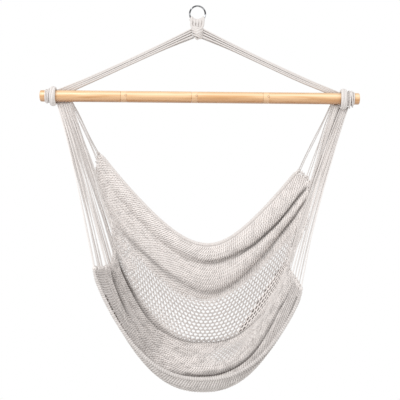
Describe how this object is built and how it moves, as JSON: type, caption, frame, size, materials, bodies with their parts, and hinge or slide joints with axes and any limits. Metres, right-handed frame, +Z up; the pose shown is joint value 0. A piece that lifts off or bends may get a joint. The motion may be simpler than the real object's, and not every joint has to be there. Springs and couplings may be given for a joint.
{
  "type": "hanging rope hammock chair",
  "caption": "Hanging chair: a steel ring and knotted cords carry a wooden spreader bar, from whose ends fans of strings hold a sagging cotton net seat.",
  "frame": {"origin": "inner top of the hanging ring, where a hook bears", "axes": "+Z up, X along the spreader bar with +X on the left hand of someone sitting in it, -Y the way the sitter faces"},
  "size_m": [1.0002, 0.3464, 1.1764],
  "materials": {
    "steel": "polished round wire",
    "wood": "clear-coated pine, satin",
    "rope": "twisted natural cotton cord",
    "net": "knotted natural cotton cord"
  },
  "bodies": {
    "ring": {"hanging_ring": "steel"},
    "ring_hitch": {"ring_hitch": "rope"},
    "knot": {"gathering_knot": "rope"},
    "yoke": {"suspension_cord_left_1": "rope", "suspension_cord_left_2": "rope", "suspension_cord_left_3": "rope", "suspension_cord_left_4": "rope", "suspension_cord_right_1": "rope", "suspension_cord_right_2": "rope", "suspension_cord_right_3": "rope", "suspension_cord_right_4": "rope", "bar_hitch_left": "rope", "bar_hitch_right": "rope"},
    "bar": {"bar_section_1": "wood", "bar_section_2": "wood", "bar_section_3": "wood", "bar_section_4": "wood", "bar_stud_1": "wood", "bar_stud_2": "wood", "bar_stud_3": "wood", "bar_pin_1": "steel", "bar_pin_2": "steel", "bar_pin_3": "steel"},
    "seat": {"seat_net": "net", "eye_loop_left": "rope", "eye_loop_right": "rope", "back_hem_cord": "rope", "front_hem_cord": "rope", "left_edge_cord": "rope", "right_edge_cord": "rope", "fan_string_left_01": "rope", "fan_string_left_02": "rope", "fan_string_left_03": "rope", "fan_string_left_04": "rope", "fan_string_left_05": "rope", "fan_string_left_06": "rope", "fan_string_left_07": "rope", "fan_string_left_08": "rope", "fan_string_left_09": "rope", "fan_string_left_10": "rope", "fan_string_left_11": "rope", "fan_string_right_01": "rope", "fan_string_right_02": "rope", "fan_string_right_03": "rope", "fan_string_right_04": "rope", "fan_string_right_05": "rope", "fan_string_right_06": "rope", "fan_string_right_07": "rope", "fan_string_right_08": "rope", "fan_string_right_09": "rope", "fan_string_right_10": "rope", "fan_string_right_11": "rope"}
  },
  "joints": [
    {"name": "ring_sway", "type": "hinge", "parent": "ring", "child": "ring_hitch", "pos_m": [0, 0, -0.022], "axis": [0, 1, 0], "range_deg": [-25, 25]},
    {"name": "hitch_swing", "type": "hinge", "parent": "ring_hitch", "child": "knot", "pos_m": [0, 0, -0.0465], "axis": [1, 0, 0], "range_deg": [-35, 35]},
    {"name": "knot_twist", "type": "hinge", "parent": "knot", "child": "yoke", "pos_m": [0, 0, -0.085], "axis": [0, 0, 1], "range_deg": [-90, 90], "stiffness_Nm_per_rad": 0.05},
    {"name": "bar_roll", "type": "hinge", "parent": "yoke", "child": "bar", "pos_m": [0.007, 0, -0.2835], "axis": [1, 0, -0.0096], "continuous": true},
    {"name": "seat_swing", "type": "hinge", "parent": "yoke", "child": "seat", "pos_m": [0.007, 0, -0.2835], "axis": [1, 0, -0.0096], "range_deg": [-30, 30]}
  ]
}
